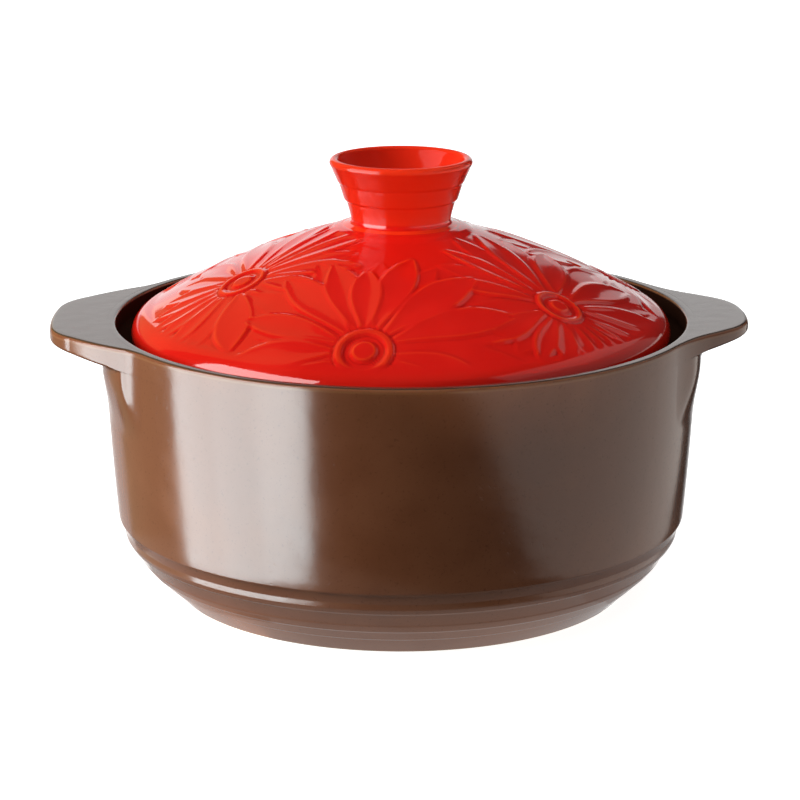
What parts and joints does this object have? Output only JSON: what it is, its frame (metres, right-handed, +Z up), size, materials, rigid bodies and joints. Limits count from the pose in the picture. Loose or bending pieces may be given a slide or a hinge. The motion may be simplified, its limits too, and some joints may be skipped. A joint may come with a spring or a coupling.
{
  "type": "lidded stoneware casserole",
  "caption": "Round stoneware casserole with lug handles, a stepped foot, and a domed lid with a flared hollow knob, a steam vent and daisies in low relief.",
  "frame": {"origin": "middle of the foot, on the surface that the pot stands on", "axes": "+Z up; +X along the line of the two handles, through the steam vent; -Y is the front that the picture shows"},
  "size_m": [0.2864, 0.2424, 0.1774],
  "materials": {
    "pot_glaze": "satin brown glaze",
    "lid_glaze": "glossy orange-red glaze"
  },
  "bodies": {
    "pot": {"pot_body": "pot_glaze", "handle_left": "pot_glaze", "handle_right": "pot_glaze"},
    "lid": {"lid_dome": "lid_glaze", "lid_knob": "lid_glaze"}
  },
  "joints": [
    {"name": "lid_lift", "type": "slide", "parent": "pot", "child": "lid", "axis": [0, 0, 1], "range_m": [0, 0.12]}
  ]
}
